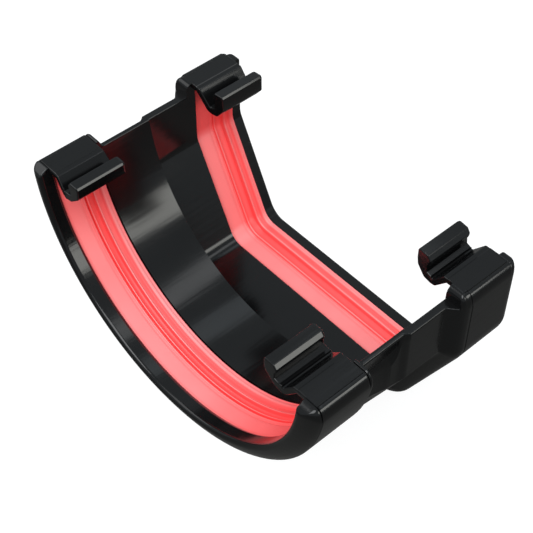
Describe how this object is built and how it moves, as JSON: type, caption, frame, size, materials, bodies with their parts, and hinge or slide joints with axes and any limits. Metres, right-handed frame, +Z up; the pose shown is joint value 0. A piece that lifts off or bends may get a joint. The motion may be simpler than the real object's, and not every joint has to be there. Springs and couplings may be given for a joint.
{
  "type": "gutter adaptor",
  "caption": "Short open trough that joins a half-round gutter to a square-line one, a wider socket at each end lined with a ribbed rubber seal, and snap clips over both rims.",
  "frame": {"origin": "middle of the bounding box in X and Y, on the plane of the lowest point, which is the outside floor of the square-line socket", "axes": "+X across the trough, +Y along the trough from the half-round end to the square-line end, +Z up, out of the open top"},
  "size_m": [0.1224, 0.078, 0.0671],
  "materials": {
    "body": "glossy black moulded plastic",
    "half_round_seal": "satin coral rubber",
    "square_seal": "satin coral rubber"
  },
  "bodies": {
    "root": {"body": "body", "half_round_seal": "half_round_seal", "square_seal": "square_seal"}
  },
  "joints": []
}
